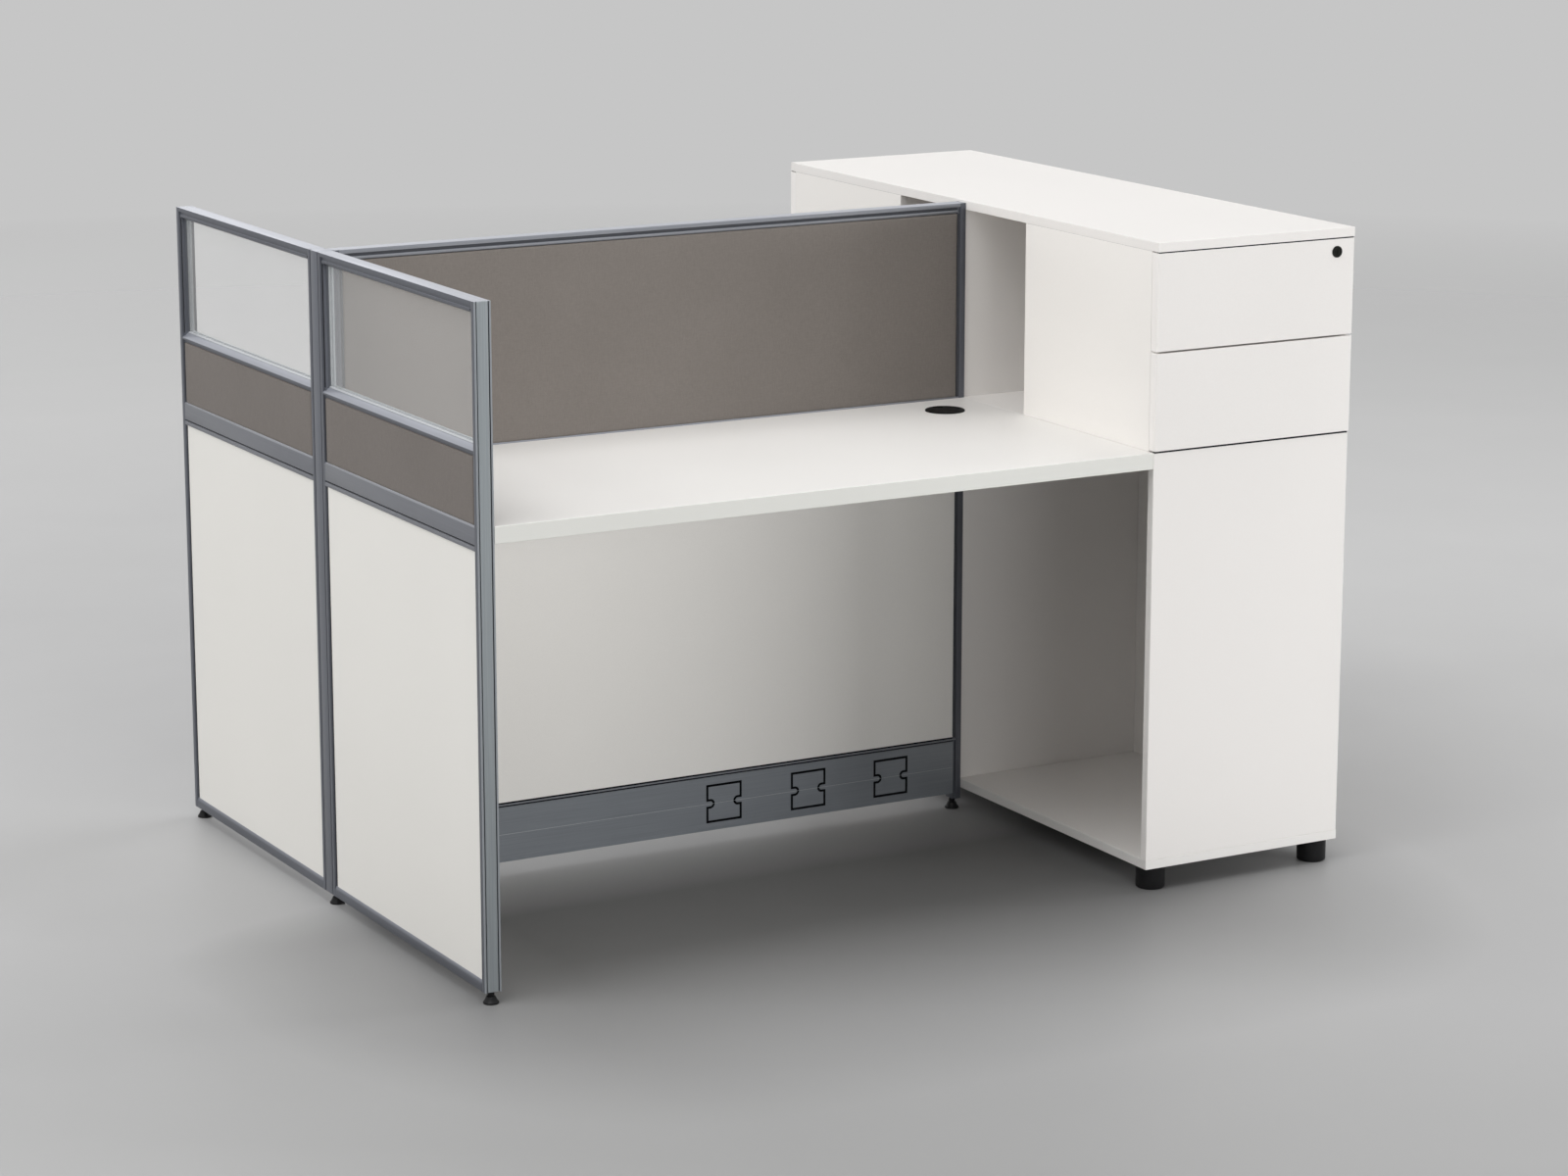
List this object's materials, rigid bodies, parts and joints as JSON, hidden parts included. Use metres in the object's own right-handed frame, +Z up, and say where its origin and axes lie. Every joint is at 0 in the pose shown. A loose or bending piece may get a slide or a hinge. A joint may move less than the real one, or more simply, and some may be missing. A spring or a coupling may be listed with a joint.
{
  "type": "cubicle workstation",
  "caption": "Office cubicle workstation: glazed and fabric side screen, back screen with raceway, desk, and a tall drawer tower shared by front and rear users.",
  "frame": {"origin": "on the floor under the middle of the workstation's overall box", "axes": "+X from the side screen towards the drawer tower, +Y from the front user towards the rear, +Z up"},
  "size_m": [1.621, 1.2312, 1.104],
  "materials": {
    "frame_metal": "blue-grey satin powder coat on aluminium extrusion",
    "trim_metal": "lighter satin powder coat",
    "raceway_metal": "blue-grey satin powder coat",
    "clear_glass": "lightly hazed clear float glass",
    "gasket": "pale grey glazing gasket",
    "tile_fabric": "taupe woven screen fabric",
    "panel_laminate": "off-white matt laminate on particle board",
    "desk_laminate": "warm white fine-textured melamine",
    "edge_band": "off-white edging",
    "tower_laminate": "warm white melamine on particle board",
    "drawer_board": "pale grey-white melamine",
    "black_plastic": "black moulded plastic",
    "lock_black": "black lacquered lock",
    "steel": "zinc-plated steel"
  },
  "bodies": {
    "root": {"middle_post": "frame_metal", "side_front_end_stile": "frame_metal", "side_front_inner_stile": "frame_metal", "side_rear_inner_stile": "frame_metal", "side_rear_end_stile": "frame_metal", "back_left_stile": "frame_metal", "back_right_stile": "frame_metal", "side_front_top_rail": "frame_metal", "side_rear_top_rail": "frame_metal", "back_top_rail": "frame_metal", "side_glass_rails": "frame_metal", "side_waist_rails": "frame_metal", "back_waist_rail": "frame_metal", "side_bottom_rails": "frame_metal", "back_bottom_rail": "frame_metal", "end_trims": "trim_metal", "raceway_tray": "raceway_metal", "raceway_upper_covers": "raceway_metal", "raceway_lower_covers": "raceway_metal", "side_front_glass": "clear_glass", "side_rear_glass": "clear_glass", "glass_gaskets": "gasket", "side_fabric_tiles": "tile_fabric", "back_fabric_tiles": "tile_fabric", "side_lower_panels": "panel_laminate", "back_lower_panels": "panel_laminate", "screen_feet": "black_plastic", "tower_feet": "black_plastic", "desk_top": "desk_laminate", "desk_edge_band": "edge_band", "desk_brackets": "steel", "fasteners": "steel", "grommet_sleeve": "black_plastic", "tower_top": "tower_laminate", "tower_bottom": "tower_laminate", "tower_right_side": "tower_laminate", "tower_centre_divider": "tower_laminate", "tower_decks": "tower_laminate", "front_lower_panel": "tower_laminate", "rear_lower_panel": "tower_laminate", "drawer_case_panels": "tower_laminate", "fixed_runners": "steel", "lock_bar_guides": "steel"},
    "lower_front_drawer": {"lower_front_drawer_front": "tower_laminate", "lower_front_drawer_box": "drawer_board", "lower_front_drawer_slides": "steel"},
    "lower_rear_drawer": {"lower_rear_drawer_front": "tower_laminate", "lower_rear_drawer_box": "drawer_board", "lower_rear_drawer_slides": "steel"},
    "upper_front_drawer": {"upper_front_drawer_front": "tower_laminate", "upper_front_drawer_box": "drawer_board", "upper_front_drawer_slides": "steel"},
    "upper_rear_drawer": {"upper_rear_drawer_front": "tower_laminate", "upper_rear_drawer_box": "drawer_board", "upper_rear_drawer_slides": "steel"},
    "front_lock": {"front_lock": "lock_black"},
    "rear_lock": {"rear_lock": "lock_black"},
    "front_lock_bar": {"front_lock_bar": "steel"},
    "rear_lock_bar": {"rear_lock_bar": "steel"},
    "grommet_cap": {"grommet_cap": "black_plastic"}
  },
  "joints": [
    {"name": "upper_front_drawer_slide", "type": "slide", "parent": "root", "child": "upper_front_drawer", "axis": [0, -1, 0], "range_m": [0, 0.27]},
    {"name": "lower_front_drawer_slide", "type": "slide", "parent": "root", "child": "lower_front_drawer", "axis": [0, -1, 0], "range_m": [0, 0.27]},
    {"name": "upper_rear_drawer_slide", "type": "slide", "parent": "root", "child": "upper_rear_drawer", "axis": [0, 1, 0], "range_m": [0, 0.27]},
    {"name": "lower_rear_drawer_slide", "type": "slide", "parent": "root", "child": "lower_rear_drawer", "axis": [0, 1, 0], "range_m": [0, 0.27]},
    {"name": "front_lock_turn", "type": "hinge", "parent": "upper_front_drawer", "child": "front_lock", "pos_m": [0.7742, -0.6136, 1.0645], "axis": [0, -1, 0], "range_deg": [0, 90]},
    {"name": "rear_lock_turn", "type": "hinge", "parent": "upper_rear_drawer", "child": "rear_lock", "pos_m": [0.7742, 0.6136, 1.0645], "axis": [0, -1, 0], "range_deg": [0, 90]},
    {"name": "front_lock_bar_lift", "type": "slide", "parent": "root", "child": "front_lock_bar", "axis": [0, 0, 1], "range_m": [0, 0.01131]},
    {"name": "rear_lock_bar_lift", "type": "slide", "parent": "root", "child": "rear_lock_bar", "axis": [0, 0, 1], "range_m": [0, 0.01131]},
    {"name": "grommet_cap_turn", "type": "hinge", "parent": "root", "child": "grommet_cap", "pos_m": [0.3175, -0.11, 0.7575], "axis": [0, 0, 1], "continuous": true}
  ],
  "couplings": [
    {"joint": "front_lock_turn", "follows": "front_lock_bar_lift", "rad_per_m": 138.84},
    {"joint": "rear_lock_turn", "follows": "rear_lock_bar_lift", "rad_per_m": 138.84}
  ]
}
